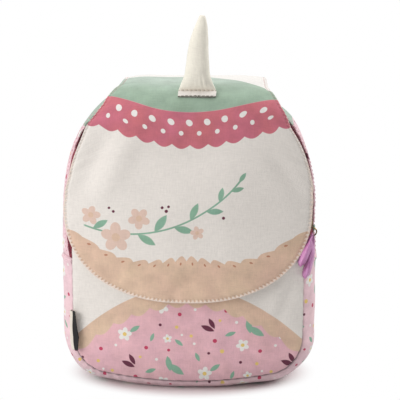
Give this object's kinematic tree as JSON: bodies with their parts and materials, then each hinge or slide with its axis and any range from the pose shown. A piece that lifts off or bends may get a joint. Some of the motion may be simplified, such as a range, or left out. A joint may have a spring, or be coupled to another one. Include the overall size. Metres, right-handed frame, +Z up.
{
  "type": "kids backpack",
  "caption": "Small soft backpack with a rounded zip bag, a wide cloth flap over its crown and front, a stuffed horn on the flap and padded shoulder straps.",
  "frame": {"origin": "middle of the flat base that the bag stands on", "axes": "+Z up; the front with the flap faces -Y; +X is to the right, seen from the front"},
  "size_m": [0.2502, 0.1689, 0.3672],
  "materials": {
    "pink_canvas": "matte printed canvas",
    "cream_canvas": "matte printed canvas",
    "horn_canvas": "matte canvas, stuffed",
    "zip_tape": "woven tape",
    "brass": "satin",
    "purple_satin": "satin ribbon",
    "label": "folded woven tape",
    "webbing": "ribbed webbing",
    "adjuster": "moulded"
  },
  "bodies": {
    "root": {"front_panel": "pink_canvas", "back_panel": "pink_canvas", "lower_gusset": "pink_canvas", "upper_gusset": "pink_canvas", "zip_tape": "zip_tape", "flap": "cream_canvas", "horn": "horn_canvas", "zip_slider": "brass", "ribbon_pull": "purple_satin", "seam_label": "label", "strap_left": "pink_canvas", "webbing_left": "webbing", "adjuster_left": "adjuster", "strap_right": "pink_canvas", "webbing_right": "webbing", "adjuster_right": "adjuster"}
  },
  "joints": []
}
